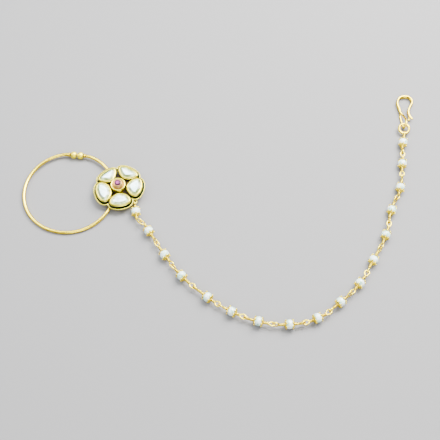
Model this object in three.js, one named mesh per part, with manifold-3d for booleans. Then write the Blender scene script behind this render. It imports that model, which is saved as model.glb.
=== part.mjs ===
// A nose ring: a gold wire hoop with a flower of five flat cut stones, and a chain of pearls that ends
// in a hook for the hair. It lies on a surface. Millimetres, +Z up, origin under the middle of the whole.

import * as THREE from "three";
import { mergeVertices } from "three/addons/utils/BufferGeometryUtils.js";
import Module from "manifold-3d";

const wasm = await Module();
wasm.setup();

// Hoop
const hoopRadius = 20.3; // to the middle of the wire
const hoopWire = 1.4; // diameter
const hoopSides = 8;
const hoopSteps = 46;
const hoopTurn = -6; // degrees that the closure is turned from straight up, seen from above

// Closure of the hoop: a straight stretch with two beads on a thin pin
const closureLength = 12;
const closurePin = 0.9; // diameter
const beadDiameter = 3.2;
const beadLength = 2.8;
const beadGap = 0.35;
const beadSides = 10;
const ferruleDiameter = 2.2; // at its wide end
const ferruleLength = 2;
const ferruleWall = 0.04; // outside the hoop's wire, at its narrow end
const collarDiameter = 1.95;
const collarLength = 0.6;
const bearingClearance = 0.08; // round the pin, in each bead and in the ferrule

// Flower setting, its heights measured from the middle of the hoop's wire
const flowerOffset = 1.95; // from the hoop's wire to the flower's centre
const flowerAngle = 9.8; // degrees round the hoop, from the line at right angles to the closure
const solderDepth = 0.15; // how far the wire is sunk into the back plate
const plateThickness = 0.8;
const rimWidth = 0.45;
const rimHeight = 0.9;
const channelWidth = 0.55;
const enamelHeight = 0.5;
const bezelHeight = 2.4;
const bezelSlope = 0.55; // height of the bevelled top of a bezel
const bezelWidth = 0.85;
const stoneClearance = 0.1;
const heartRadius = 5; // plate and enamel between the petals and the collet

// Petals
const petalCircle = 7.1; // radius to the middle of each petal
const petalDepth = 6.9; // towards the flower's centre
const petalWidth = 9.4;
const petalSides = 16;

// Each petal is cut by hand. angle: degrees from the direction away from the hoop; reach, depth and width:
// shares of petalCircle, petalDepth and petalWidth; taper: how much wider it is outside; twist: degrees.
const petals = [
  { angle: 57, reach: 1.03, depth: 0.91, width: 1.0, taper: 0.37, twist: 0 },
  { angle: -9, reach: 1.01, depth: 1.06, width: 0.98, taper: 0.28, twist: -4 },
  { angle: -85, reach: 1.01, depth: 1.02, width: 1.0, taper: 0.22, twist: -1 },
  { angle: -158, reach: 0.98, depth: 1.03, width: 1.1, taper: 0.18, twist: -6 },
  { angle: 130, reach: 0.96, depth: 0.93, width: 0.94, taper: 0.4, twist: -4 },
];

// Petal stones
const stoneFacets = 12;
const stoneDepth = 1.3; // from the girdle down to the flat bottom
const stoneCrown = 0.5; // from the girdle up to the table
const stoneCrownWidth = 1.05;
const stoneGirdle = 0.15;

// Centre collet and its stone
const colletDiameter = 6.6;
const colletShoulder = 3.3; // height of its outer step above the plate
const colletHeight = 4.6;
const colletMouth = 3.5; // outer diameter of the top edge
const colletSides = 14;
const centreStoneDiameter = 2.8;
const centreStoneDepth = 0.7;
const centreStoneCrown = 0.4;
const colletStep = 0.15; // height of each edge of its shoulder
const centreFacets = 10;

// Bail: a small loop on the rim's side, in the notch between the second and the third petal
const bailWire = 0.6;
const bailRadius = 0.95;
const bailHeight = 0.95; // above the middle of the hoop's wire
const bailClearance = 0.15; // between the first pin and the rim of the third petal

// Chain
const pearlDiameter = 4;
const pearlSides = 10;
const pinWire = 0.6;
const pearlBore = 0.84;
const capClearance = 0.1; // between a pearl and its caps
const capWall = 0.33;
const capAngle = 61; // degrees from the axis to the cap's rim
const neckDiameter = 1.24;
const eyeLength = 3.2; // over the wire
const eyeWidth = 2.7;
const shortEyeLength = 2.4; // the eye on the bail
const linkGap = 0.1; // between the wires of two eyes that hold each other
const eyeSides = 5;
const eyeSteps = 10;

// The way along the chain from the bail to the jump ring, pearl by pearl. heading: direction of the step
// to that pearl, in degrees from +X; reach: its length as a share of pearlPitch; turn: how far the eye
// after the pearl is turned from lying flat, in degrees. The eye that it holds is a right angle further.
const pearlPitch = 13;
const chainRoute = [
  { heading: -81.3, reach: 0.388, turn: 65 },
  { heading: -57.7, reach: 0.878, turn: 60 },
  { heading: -57.9, reach: 1.049, turn: 45 },
  { heading: -52.9, reach: 0.964, turn: 0 },
  { heading: -41.6, reach: 1.136, turn: 15 },
  { heading: -32.8, reach: 0.924, turn: 0 },
  { heading: -21.7, reach: 0.906, turn: -20 },
  { heading: -6.0, reach: 0.99, turn: 90 },
  { heading: 13.4, reach: 0.929, turn: 0 },
  { heading: 35.9, reach: 0.945, turn: 65 },
  { heading: 44.7, reach: 0.946, turn: 0 },
  { heading: 58.4, reach: 0.984, turn: 50 },
  { heading: 62.2, reach: 1.048, turn: 10 },
  { heading: 73.1, reach: 1.005, turn: 60 },
  { heading: 66.7, reach: 0.963, turn: 70 },
  { heading: 80.1, reach: 0.988, turn: 10 },
  { heading: 82.6, reach: 0.896, turn: 90 },
];
const ringStep = { heading: 80.5, reach: 0.604 };

// Jump ring
const ringDiameter = 5.7; // over the wire
const ringWire = 1.1;
const ringTilt = 15; // degrees that its far side is raised
const ringLow = 1.35; // height of the middle of the wire at its near side

// Hook: one wire folded double, its strands one above the other
const hookWire = 0.9;
const hookLength = 18;
const hookWidth = 6.7;
const strandGap = 0.06;
const hookSteps = 50;
const hookSides = 6;
const hookShift = 0.35; // of the fold from the ring's middle, across the hook

// The plan of each strand from its tip round the bow to the foot of its leg, in shares of the hook's
// width and length, measured from the fold.
const bowPlan = [
  { across: 0.64, along: 0.25 },
  { across: 0.46, along: 0.38 },
  { across: 0.44, along: 0.53 },
  { across: 0.59, along: 0.67 },
  { across: 0.76, along: 0.79 },
  { across: 0.73, along: 0.92 },
  { across: 0.53, along: 0.985 },
  { across: 0.22, along: 1 },
  { across: -0.06, along: 0.96 },
  { across: -0.23, along: 0.86 },
  { across: -0.27, along: 0.75 },
  { across: -0.2, along: 0.61 },
  { across: -0.14, along: 0.49 },
];
const forkedTip = { across: 0.4, along: 0.24 };

// The long eye from the foot of the leg, over the ring, down through it and back under it. high: height
// as a share of the way from the lower strand up to a strand that clears the top of the ring's wire.
const eyePlan = [
  { across: 0.02, along: 0.345, high: 0.42 },
  { across: 0.07, along: 0.235, high: 0.8 },
  { across: 0.1, along: 0.135, high: 1 },
  { across: 0.08, along: 0.055, high: 1.04 },
  { across: 0.04, along: 0.0, high: 0.9 },
  { across: 0.0, along: -0.01, high: 0.5 },
  { across: -0.03, along: 0.01, high: 0.1 },
  { across: -0.07, along: 0.11, high: 0 },
  { across: -0.13, along: 0.23, high: 0 },
  { across: -0.16, along: 0.36, high: 0 },
];

const radians = THREE.MathUtils.degToRad;
const up = new THREE.Vector3(0, 0, 1);

// Materials
function material(color, roughness, metalness) {
  return new THREE.MeshStandardMaterial({ color, roughness, metalness });
}
const gold = material(0xe2bd62, 0.28, 1);
const greenEnamel = material(0x1f4a1c, 0.2, 0);
const whiteStone = material(0xe6f3f4, 0.12, 0);
const pinkStone = material(0xb0407c, 0.1, 0);
const pearlWhite = material(0xe9ecec, 0.32, 0);

// Solids
function toSolid(geometry) {
  const bare = geometry.index ? geometry.toNonIndexed() : geometry.clone();
  bare.deleteAttribute("normal");
  bare.deleteAttribute("uv");
  const merged = mergeVertices(bare, 1e-4);
  return new wasm.Manifold(
    new wasm.Mesh({
      numProp: 3,
      vertProperties: new Float32Array(merged.attributes.position.array),
      triVerts: new Uint32Array(merged.index.array),
    }),
  );
}

function toGeometry(solid) {
  const { vertProperties, triVerts } = solid.getMesh();
  const geometry = new THREE.BufferGeometry();
  geometry.setAttribute("position", new THREE.BufferAttribute(vertProperties, 3));
  geometry.setIndex(new THREE.BufferAttribute(triVerts, 1));
  geometry.computeVertexNormals();
  return geometry;
}

function join(solids) {
  return solids.reduce((whole, piece) => whole.add(piece));
}

function largestBody(solid) {
  return solid.decompose().reduce((a, b) => (a.volume() > b.volume() ? a : b));
}

function addMesh(parent, name, geometry, look) {
  const mesh = new THREE.Mesh(geometry, look);
  mesh.name = name;
  parent.add(mesh);
  return mesh;
}

// A turned shape along X. The profile's points are [radius, place along X], from high X to low X.
function turnedAlongX(profile, sides) {
  const points = profile.map(([radius, x]) => new THREE.Vector2(radius, x));
  return new THREE.LatheGeometry(points.reverse(), sides).rotateZ(-Math.PI / 2);
}

// A turned shape along Z. The profile's points are [radius, height], from the bottom to the top.
function turnedAlongZ(profile, sides) {
  const points = profile.map(([radius, z]) => new THREE.Vector2(radius, z));
  return new THREE.LatheGeometry(points, sides).rotateX(Math.PI / 2);
}

function polygonSection(radius, sides) {
  const corners = Array.from({ length: sides }, (_, i) => {
    const angle = (2 * Math.PI * (i + 0.5)) / sides;
    return new THREE.Vector2(radius * Math.cos(angle), radius * Math.sin(angle));
  });
  return new THREE.Shape(corners);
}

function wireAlong(curve, diameter, sides, steps) {
  const section = polygonSection(diameter / 2, sides);
  return new THREE.ExtrudeGeometry(section, { steps, extrudePath: curve, bevelEnabled: false });
}

// Petal outline: an egg whose wide end is outside, grown outwards by `grow`.
function petalOutline(petal, grow, count) {
  const halfDepth = (petal.depth * petalDepth) / 2;
  const halfWidth = (petal.width * petalWidth) / 2;
  const centre = new THREE.Vector2(petal.reach * petalCircle, 0).rotateAround(
    new THREE.Vector2(),
    radians(petal.angle),
  );
  const turn = radians(petal.angle + petal.twist);
  const points = [];
  for (let i = 0; i < count; i++) {
    const t = (2 * Math.PI * (i + 0.5)) / count;
    const spread = 1 + petal.taper * Math.cos(t);
    const point = new THREE.Vector2(halfDepth * Math.cos(t), halfWidth * Math.sin(t) * spread);
    const tangent = new THREE.Vector2(
      -halfDepth * Math.sin(t),
      halfWidth * (Math.cos(t) * spread - petal.taper * Math.sin(t) ** 2),
    ).normalize();
    point.add(new THREE.Vector2(tangent.y, -tangent.x).multiplyScalar(grow));
    points.push(point.rotateAround(new THREE.Vector2(), turn).add(centre));
  }
  return points;
}

// A solid whose sections are petal outlines. Each level is [grow, height], from the bottom up.
function petalSolid(petal, levels, count = petalSides) {
  const rings = levels.map(([grow, height]) =>
    petalOutline(petal, grow, count).map((p) => new THREE.Vector3(p.x, p.y, height)),
  );
  const positions = [];
  const addTriangle = (a, b, c) => positions.push(...a.toArray(), ...b.toArray(), ...c.toArray());
  const middleOf = (ring) =>
    ring.reduce((sum, p) => sum.add(p), new THREE.Vector3()).divideScalar(ring.length);
  const [first, last] = [rings[0], rings[rings.length - 1]];
  const [low, high] = [middleOf(first), middleOf(last)];
  for (let i = 0; i < count; i++) {
    const j = (i + 1) % count;
    addTriangle(low, first[j], first[i]);
    addTriangle(high, last[i], last[j]);
    for (let k = 0; k + 1 < rings.length; k++) {
      addTriangle(rings[k][i], rings[k][j], rings[k + 1][j]);
      addTriangle(rings[k][i], rings[k + 1][j], rings[k + 1][i]);
    }
  }
  const geometry = new THREE.BufferGeometry();
  geometry.setAttribute("position", new THREE.Float32BufferAttribute(positions, 3));
  return geometry;
}

function disc(radius, low, high, sides) {
  const profile = [[0, low], [radius, low], [radius, high], [0, high]];
  return toSolid(turnedAlongZ(profile, sides));
}

// Heights of the setting
const plateBottom = hoopWire / 2 - solderDepth;
const plateTop = plateBottom + plateThickness;
const rimTop = plateTop + rimHeight;
const bezelTop = plateTop + bezelHeight;
const girdleTop = bezelTop - stoneClearance;
const solderRoot = 0.2; // how far the bezels and the collet are sunk into the plate

// Distance from the flower's centre to the rim's side in one direction
function rimDistance(angle) {
  const toRay = -radians(angle);
  let farthest = 0;
  for (const petal of petals) {
    const outline = petalOutline(petal, channelWidth + rimWidth, petalSides).map((p) =>
      p.rotateAround(new THREE.Vector2(), toRay),
    );
    outline.forEach((a, i) => {
      const b = outline[(i + 1) % outline.length];
      if (a.y * b.y > 0) return;
      const x = a.x + ((b.x - a.x) * a.y) / (a.y - b.y);
      farthest = Math.max(farthest, x);
    });
  }
  return farthest;
}
const bailAngle = (petals[1].angle + petals[2].angle) / 2;
const bailFoot = rimDistance(bailAngle);

// The bail's loop stands out from the notch so far that the first pin passes the third petal's rim.
function loopDistance() {
  const pinAngle = radians(chainRoute[0].heading - hoopTurn - flowerAngle);
  const aside = new THREE.Vector2(-Math.sin(pinAngle), Math.cos(pinAngle));
  const rim = petalOutline(petals[2], channelWidth + rimWidth, petalSides);
  const rimSide = Math.max(...rim.map((point) => point.dot(aside)));
  const outwards = new THREE.Vector2(Math.cos(radians(bailAngle)), Math.sin(radians(bailAngle)));
  return (rimSide + pinWire / 2 + bailClearance) / outwards.dot(aside);
}
const loopPlace = loopDistance();

function tray() {
  const outer = petals.map((p) =>
    toSolid(petalSolid(p, [[channelWidth + rimWidth, plateBottom], [channelWidth + rimWidth, rimTop]])),
  );
  const inner = petals.map((p) =>
    toSolid(petalSolid(p, [[channelWidth, plateTop], [channelWidth, rimTop + rimHeight]])),
  );
  const body = join([disc(heartRadius, plateBottom, rimTop, colletSides), ...outer]);
  const hollow = join([disc(heartRadius, plateTop, rimTop + rimHeight, colletSides), ...inner]);
  return body.subtract(hollow);
}

function bezel(petal) {
  const seat = girdleTop - stoneGirdle - stoneDepth - stoneClearance;
  return toSolid(
    petalSolid(petal, [
      [0, plateTop - solderRoot],
      [0, bezelTop - bezelSlope],
      [-bezelWidth, bezelTop],
      [-bezelWidth, seat],
    ]),
  );
}

function collet() {
  const foot = colletDiameter / 2;
  const mouth = colletMouth / 2;
  const bore = centreStoneDiameter / 2 + stoneClearance;
  const shoulder = plateTop + colletShoulder;
  const top = plateTop + colletHeight;
  const groove = (foot + mouth) / 2;
  const seat = top - centreStoneDepth - 2 * stoneClearance;
  const profile = [
    [0, plateTop - solderRoot],
    [foot, plateTop - solderRoot],
    [foot, shoulder - 2.5 * colletStep],
    [foot - 1.5 * colletStep, shoulder],
    [groove + colletStep, shoulder - colletStep],
    [groove, shoulder - 2 * colletStep],
    [mouth, top],
    [bore, top],
    [bore, seat],
    [0, seat],
  ];
  return toSolid(turnedAlongZ(profile, colletSides));
}

function bail() {
  const loop = new THREE.TorusGeometry(bailRadius, bailWire / 2, eyeSides, eyeSteps);
  loop.translate(loopPlace, 0, bailHeight);
  const stemStart = bailFoot - rimWidth - channelWidth; // inside the plate
  const stemEnd = loopPlace - bailRadius;
  const stem = new THREE.CylinderGeometry(bailWire / 2, bailWire / 2, stemEnd - stemStart, eyeSides);
  stem.rotateZ(Math.PI / 2).translate((stemStart + stemEnd) / 2, 0, bailHeight);
  return join([loop, stem].map((piece) => toSolid(piece.rotateZ(radians(bailAngle)))));
}

// Hoop: a circle whose closure is a straight stretch, in polar form
const closureDistance = Math.sqrt(hoopRadius ** 2 - (closureLength / 2) ** 2);
class HoopCurve extends THREE.Curve {
  constructor(startAngle, endAngle) {
    super();
    this.startAngle = startAngle;
    this.endAngle = endAngle;
  }
  getPoint(t, target = new THREE.Vector3()) {
    const angle = THREE.MathUtils.lerp(this.startAngle, this.endAngle, t);
    const fromClosure = Math.cos(angle - Math.PI / 2);
    const isStraight = fromClosure > closureDistance / hoopRadius;
    const radius = isStraight ? closureDistance / fromClosure : hoopRadius;
    return target.set(radius * Math.cos(angle), radius * Math.sin(angle), 0);
  }
}

const beadPlace = (beadLength + beadGap) / 2; // each bead's middle, from the closure's middle
const ferruleMouth = -(beadPlace + beadLength / 2 + beadGap); // along the closure
const collarMiddle = beadPlace + beadLength / 2 + beadGap + collarLength / 2;

function hoop() {
  const rightEnd = Math.atan2(closureDistance, collarMiddle);
  const leftEnd = Math.atan2(closureDistance, ferruleMouth - ferruleLength / 2) - 2 * Math.PI;
  const wire = wireAlong(new HoopCurve(rightEnd, leftEnd), hoopWire, hoopSides, hoopSteps);
  const bore = closurePin / 2 + bearingClearance;
  const boreEnd = ferruleMouth - ferruleLength * 0.6;
  const lip = ferruleLength * 0.15;
  const ferrule = turnedAlongX(
    [
      [0, ferruleMouth],
      [ferruleDiameter / 2, ferruleMouth],
      [ferruleDiameter / 2, ferruleMouth - lip],
      [hoopWire / 2 + ferruleWall, ferruleMouth - ferruleLength],
      [0, ferruleMouth - ferruleLength],
    ],
    hoopSides,
  );
  const holeMouth = ferruleMouth + 1;
  const hole = turnedAlongX(
    [[0, holeMouth], [bore, holeMouth], [bore, boreEnd], [0, boreEnd]],
    hoopSides,
  );
  const pinEnd = boreEnd + 2 * bearingClearance;
  const pinRadius = closurePin / 2;
  const pin = turnedAlongX(
    [[0, collarMiddle], [pinRadius, collarMiddle], [pinRadius, pinEnd], [0, pinEnd]],
    hoopSides,
  );
  const collarStart = collarMiddle - collarLength / 2;
  const collarEnd = collarMiddle + collarLength / 2;
  const collarRadius = collarDiameter / 2;
  const collar = turnedAlongX(
    [[0, collarEnd], [collarRadius, collarEnd], [collarRadius, collarStart], [0, collarStart]],
    hoopSides,
  );
  const onClosure = (geometry) => toSolid(geometry.translate(0, closureDistance, 0));
  return join([toSolid(wire), onClosure(ferrule)])
    .subtract(onClosure(hole))
    .add(onClosure(pin))
    .add(onClosure(collar));
}

function closureBead() {
  const bore = closurePin / 2 + bearingClearance;
  const radius = beadDiameter / 2;
  const half = beadLength / 2;
  const profile = [
    [bore, half],
    [radius * 0.65, half],
    [radius, half * 0.3],
    [radius, -half * 0.3],
    [radius * 0.65, -half],
    [bore, -half],
    [bore, half],
  ];
  return turnedAlongX(profile, beadSides);
}

// Place of the hoop: it rests on its beads and on the wire across from them
const beadLift = beadDiameter / 2 - hoopWire / 2;
const hoopTilt = Math.asin(beadLift / (closureDistance + hoopRadius));
const jewel = new THREE.Group();
const front = new THREE.Group();
jewel.add(front);
front.rotation.set(hoopTilt, 0, radians(hoopTurn), "ZXY");
front.position.z = hoopWire / 2 + hoopRadius * Math.sin(hoopTilt);

const flower = new THREE.Group();
const flowerPlace = hoopRadius + flowerOffset;
flower.position.set(
  flowerPlace * Math.cos(radians(flowerAngle)),
  flowerPlace * Math.sin(radians(flowerAngle)),
  0,
);
flower.rotation.z = radians(flowerAngle);
front.add(flower);
flower.updateMatrix();

// Hoop and setting are soldered together, so they are one solid
function hoopAndSetting() {
  const setting = join([tray(), ...petals.map(bezel), collet(), bail()]);
  const seated = toGeometry(setting).applyMatrix4(flower.matrix);
  return hoop().add(toSolid(seated));
}
addMesh(front, "hoop_and_setting", toGeometry(hoopAndSetting()), gold);

[-beadPlace, beadPlace].forEach((place, i) => {
  const bead = addMesh(front, `closure_bead_${i + 1}`, closureBead(), gold);
  bead.position.set(place, closureDistance, 0);
});

// Enamel: an outer band in the channel and a heart round the collet
function enamel(isBand) {
  const gap = stoneClearance;
  const low = plateTop + gap;
  const high = plateTop + enamelHeight;
  const lobes = petals.map((p) =>
    toSolid(petalSolid(p, [[channelWidth - gap, low], [channelWidth - gap, high]])),
  );
  const floor = join([disc(heartRadius - gap, low, high, colletSides), ...lobes]);
  const standing = petals.map((p) =>
    toSolid(petalSolid(p, [[gap, low - 1], [gap, high + 1]])),
  );
  const colletGap = colletDiameter / 2 + gap;
  const open = floor.subtract(join([disc(colletGap, low - 1, high + 1, colletSides), ...standing]));
  const split = petalCircle;
  const cut = isBand
    ? open.subtract(disc(split + gap / 2, low - 1, high + 1, 24))
    : open.intersect(disc(split - gap / 2, low - 1, high + 1, 24));
  return toGeometry(largestBody(cut));
}
addMesh(flower, "enamel_band", enamel(true), greenEnamel);
addMesh(flower, "enamel_heart", enamel(false), greenEnamel);

// Petal stones: a flat bottom, a girdle, sloping facets and a table
petals.forEach((petal, i) => {
  const girdle = -bezelWidth - stoneClearance;
  const girdleLow = girdleTop - stoneGirdle;
  const levels = [
    [girdle - 0.35, girdleLow - stoneDepth],
    [girdle, girdleLow],
    [girdle, girdleTop],
    [girdle - stoneCrownWidth, girdleTop + stoneCrown],
  ];
  addMesh(flower, `petal_stone_${i + 1}`, petalSolid(petal, levels, stoneFacets), whiteStone);
});

function centreStone() {
  const radius = centreStoneDiameter / 2;
  const girdle = plateTop + colletHeight - stoneClearance;
  const profile = [
    [0, girdle - centreStoneDepth],
    [radius * 0.5, girdle - centreStoneDepth],
    [radius, girdle - 0.1],
    [radius, girdle],
    [radius * 0.6, girdle + centreStoneCrown],
    [0, girdle + centreStoneCrown],
  ];
  return turnedAlongZ(profile, centreFacets);
}
addMesh(flower, "centre_stone", centreStone(), pinkStone);

// Chain: the pearls lie on the rims of their caps
const capInner = pearlDiameter / 2 + capClearance;
const capOuter = capInner + capWall;
const capRim = capOuter * Math.sin(radians(capAngle));
const chainHeight = capRim;

function pearl() {
  const radius = pearlDiameter / 2;
  const bore = pearlBore / 2;
  const poleAngle = Math.asin(bore / radius);
  const bands = 5;
  const profile = Array.from({ length: bands + 1 }, (_, i) => {
    const angle = THREE.MathUtils.lerp(poleAngle, Math.PI - poleAngle, i / bands);
    return [radius * Math.sin(angle), radius * Math.cos(angle)];
  });
  profile.push(profile[0]);
  return turnedAlongX(profile, pearlSides);
}

// The straight part of a pin: necks, caps and the wire through the pearl
function pinBody(neckAfter, neckBefore) {
  const at = (radius, degrees) => [radius * Math.sin(radians(degrees)), radius * Math.cos(radians(degrees))];
  const neck = neckDiameter / 2;
  const half = (length) => [
    [0, capOuter + length],
    [neck, capOuter + length],
    [neck, capOuter * 0.98],
    at(capOuter, 38),
    at(capOuter, capAngle),
    at(capInner, capAngle - 1),
    at(capInner, 34),
    [pinWire / 2, capInner],
  ];
  const mirrored = half(neckBefore).map(([radius, x]) => [radius, -x]).reverse();
  return toSolid(turnedAlongX([...half(neckAfter), ...mirrored], pearlSides));
}

// An eye: its near side is at `start`, and it points along `direction`.
function eye(start, direction, length, turn) {
  const halfLength = (length - pinWire) / 2;
  const halfWidth = (Math.min(eyeWidth, length) - pinWire) / 2;
  const ring = new THREE.TorusGeometry(halfWidth, pinWire / 2, eyeSides, eyeSteps);
  ring.scale(halfLength / halfWidth, 1, 1).rotateX(radians(turn));
  const sideways = new THREE.Vector3().crossVectors(up, direction).normalize();
  const upwards = new THREE.Vector3().crossVectors(direction, sideways);
  ring.applyMatrix4(new THREE.Matrix4().makeBasis(direction, sideways, upwards));
  const middle = start.clone().addScaledVector(direction, halfLength);
  return toSolid(ring.translate(middle.x, middle.y, middle.z));
}

jewel.updateMatrixWorld(true);
const loopMiddle = flower.localToWorld(
  new THREE.Vector3(loopPlace, 0, bailHeight).applyAxisAngle(up, radians(bailAngle)),
);
const bailStart = loopMiddle.setZ(chainHeight);
const steps = [bailStart];
for (const { heading, reach } of [...chainRoute, ringStep]) {
  const step = new THREE.Vector3(reach * pearlPitch, 0, 0).applyAxisAngle(up, radians(heading));
  steps.push(step.add(steps[steps.length - 1]));
}
const pearlPlaces = steps.slice(1, -1);
const ringMiddle = steps[steps.length - 1];
const ringRadius = (ringDiameter - ringWire) / 2;
ringMiddle.z = ringLow + ringRadius * Math.sin(radians(ringTilt));
const ringNear = ringMiddle
  .clone()
  .add(new THREE.Vector3(0, -ringRadius * Math.cos(radians(ringTilt)), ringLow - ringMiddle.z));

// Direction of each pearl's axis, level, from the pearl before to the pearl after. The first points away
// from the bail, and the last points at the ring.
const lastPearl = pearlPlaces.length - 1;
const stops = [bailStart, ...pearlPlaces, ringNear];
const pearlAxes = pearlPlaces.map((place, i) => {
  const before = i === lastPearl ? place : stops[i];
  const after = i === 0 ? place : stops[i + 2];
  return new THREE.Vector3().subVectors(after, before).setZ(0).normalize();
});

// Length of the two necks that makes the eyes between two pearls hold each other
const eyeStretch = (eyeLength - pinWire) / (eyeWidth - pinWire);
const eyeEndWire = pinWire * eyeStretch; // thickness of an eye's wire at its two ends
const eyeSpan = 2 * (eyeLength - pinWire) - eyeEndWire - linkGap; // between the near sides of two held eyes
function neckBetween(i) {
  const from = pearlPlaces[i].clone().addScaledVector(pearlAxes[i], capOuter);
  const to = pearlPlaces[i + 1].clone().addScaledVector(pearlAxes[i + 1], -capOuter);
  const way = to.sub(from);
  const both = pearlAxes[i].clone().add(pearlAxes[i + 1]);
  const a = both.lengthSq();
  const b = way.dot(both);
  return (b - Math.sqrt(b * b - a * (way.lengthSq() - eyeSpan ** 2))) / a;
}
const necks = pearlPlaces.slice(0, -1).map((_, i) => neckBetween(i));
const neckEnd = (i, side, length) =>
  pearlPlaces[i].clone().addScaledVector(pearlAxes[i], side * (capOuter + length));

// The first eye holds the bail's loop from inside, and the last one holds the jump ring.
const shortEyeSpan = shortEyeLength - pinWire;
const bailFar = bailRadius - (bailWire + pinWire) / 2 - linkGap;
const firstNeck = bailStart.distanceTo(pearlPlaces[0]) - capOuter - bailFar - shortEyeSpan;
const lastEyeReach = eyeLength - pinWire - (ringWire + eyeEndWire) / 2 - 2 * linkGap; // to the ring's wire
const lastEyeLevel = Math.sqrt(lastEyeReach ** 2 - (chainHeight - ringLow) ** 2);
const lastNeck =
  new THREE.Vector3().subVectors(ringNear, pearlPlaces[lastPearl]).setZ(0).length() -
  capOuter - lastEyeLevel;

function pearlPin(i) {
  const isFirst = i === 0;
  const isLast = i === lastPearl;
  const after = isLast ? lastNeck : necks[i];
  const before = isFirst ? firstNeck : necks[i - 1];
  const start = neckEnd(i, 1, after);
  const end = neckEnd(i, -1, before);
  const held = isLast ? ringNear : neckEnd(i + 1, -1, necks[i]);
  const holder = isFirst ? bailStart : neckEnd(i - 1, 1, necks[i - 1]);
  const turnBefore = isFirst ? 90 : 90 - chainRoute[i - 1].turn;
  const place = new THREE.Matrix4().makeRotationZ(Math.atan2(pearlAxes[i].y, pearlAxes[i].x));
  place.setPosition(pearlPlaces[i]);
  const toLocal = place.clone().invert();
  const localEye = (from, to, length, turn) => {
    const a = from.clone().applyMatrix4(toLocal);
    const direction = to.clone().applyMatrix4(toLocal).sub(a).normalize();
    return eye(a, direction, length, turn);
  };
  const solid = join([
    pinBody(after, before),
    localEye(start, held, eyeLength, chainRoute[i].turn),
    localEye(end, holder, isFirst ? shortEyeLength : eyeLength, turnBefore),
  ]);
  return { geometry: toGeometry(solid), place };
}

pearlPlaces.forEach((_, i) => {
  const number = String(i + 1).padStart(2, "0");
  const { geometry, place } = pearlPin(i);
  const link = new THREE.Group();
  link.applyMatrix4(place);
  jewel.add(link);
  addMesh(link, `pearl_${number}`, pearl(), pearlWhite);
  addMesh(link, `pearl_pin_${number}`, geometry, gold);
});

// Jump ring
const ring = addMesh(
  jewel,
  "jump_ring",
  new THREE.TorusGeometry(ringRadius, ringWire / 2, 6, 16),
  gold,
);
ring.position.copy(ringMiddle);
ring.rotation.x = radians(ringTilt);

// Hook
function hookCurve(lowest, ringTop) {
  const upper = lowest + hookWire + strandGap;
  const highest = ringTop + hookWire / 2 + linkGap;
  const plan = ({ across, along }, z) => new THREE.Vector3(across * hookWidth, along * hookLength, z);
  const overBow = bowPlan.map((row) => plan(row, upper));
  const throughRing = eyePlan.map((row) => plan(row, THREE.MathUtils.lerp(lowest, highest, row.high)));
  const underBow = [forkedTip, ...bowPlan.slice(1)].map((row) => plan(row, lowest)).reverse();
  return new THREE.CatmullRomCurve3([...overBow, ...throughRing, ...underBow], false, "centripetal");
}
const ringFarY = ringMiddle.y + ringRadius * Math.cos(radians(ringTilt));
const ringFarTop = ringLow + 2 * ringRadius * Math.sin(radians(ringTilt)) + ringWire / 2;
const hook = addMesh(
  jewel,
  "hair_hook",
  wireAlong(hookCurve(hookWire / 2, ringFarTop), hookWire, hookSides, hookSteps),
  gold,
);
hook.position.set(
  ringMiddle.x + hookShift,
  ringFarY - (ringWire + hookWire) / 2 - linkGap,
  0,
);

// Origin: on the surface, under the middle of the whole
jewel.updateMatrixWorld(true);
const whole = new THREE.Box3().setFromObject(jewel, true);
const middle = whole.getCenter(new THREE.Vector3());
jewel.position.set(-middle.x, -middle.y, -whole.min.z);

export default jewel;
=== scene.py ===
import math
import random

import bpy
import numpy as np
from mathutils import Matrix, Vector


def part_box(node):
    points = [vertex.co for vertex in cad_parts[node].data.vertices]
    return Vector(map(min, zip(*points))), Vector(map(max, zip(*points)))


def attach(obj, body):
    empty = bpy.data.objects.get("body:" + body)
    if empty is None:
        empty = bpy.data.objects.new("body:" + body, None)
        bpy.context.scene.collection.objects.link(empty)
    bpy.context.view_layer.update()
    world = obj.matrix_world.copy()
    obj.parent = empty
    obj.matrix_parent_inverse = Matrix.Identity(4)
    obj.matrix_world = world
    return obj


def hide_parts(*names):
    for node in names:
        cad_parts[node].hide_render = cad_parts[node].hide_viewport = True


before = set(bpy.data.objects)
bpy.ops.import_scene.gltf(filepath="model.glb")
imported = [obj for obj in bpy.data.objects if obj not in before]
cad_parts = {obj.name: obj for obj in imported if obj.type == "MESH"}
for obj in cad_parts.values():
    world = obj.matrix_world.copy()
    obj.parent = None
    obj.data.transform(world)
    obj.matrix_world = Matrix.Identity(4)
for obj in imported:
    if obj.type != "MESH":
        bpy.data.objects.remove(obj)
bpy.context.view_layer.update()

# A nose ring: gold wire hoop, a flower of five flat cut stones, and a chain of pearls with a hook.
# Everything below is worked out in millimetres and turned into metres when a mesh is made.
MM = 0.001
rng = random.Random(7)

# Sizes of the CAD model
HOOP_RADIUS = 20.3
HOOP_WIRE = 1.4
HOOP_TURN = -6
CLOSURE_LENGTH = 12
CLOSURE_PIN = 0.9
BEAD_DIAMETER = 3.2
BEAD_LENGTH = 2.8
BEAD_GAP = 0.35
FERRULE_DIAMETER = 2.2
FERRULE_LENGTH = 2.0
COLLAR_LENGTH = 0.6

FLOWER_OFFSET = 1.95
FLOWER_ANGLE = 9.8
PLATE_BOTTOM = 0.55
PLATE_TOP = 1.35
RIM_WIDTH = 0.45
RIM_TOP = 2.25
CHANNEL_WIDTH = 0.55
ENAMEL_TOP = 1.85
BEZEL_TOP = 3.75
BEZEL_SLOPE = 0.55
BEZEL_WIDTH = 0.85
GIRDLE_TOP = 3.65
STONE_DEPTH = 1.3
STONE_CROWN = 0.5
STONE_CROWN_WIDTH = 1.05
HEART_RADIUS = 5
PETAL_CIRCLE = 7.1
PETAL_DEPTH = 6.9
PETAL_WIDTH = 9.4
CAD_PETAL_SIDES = 16

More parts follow.
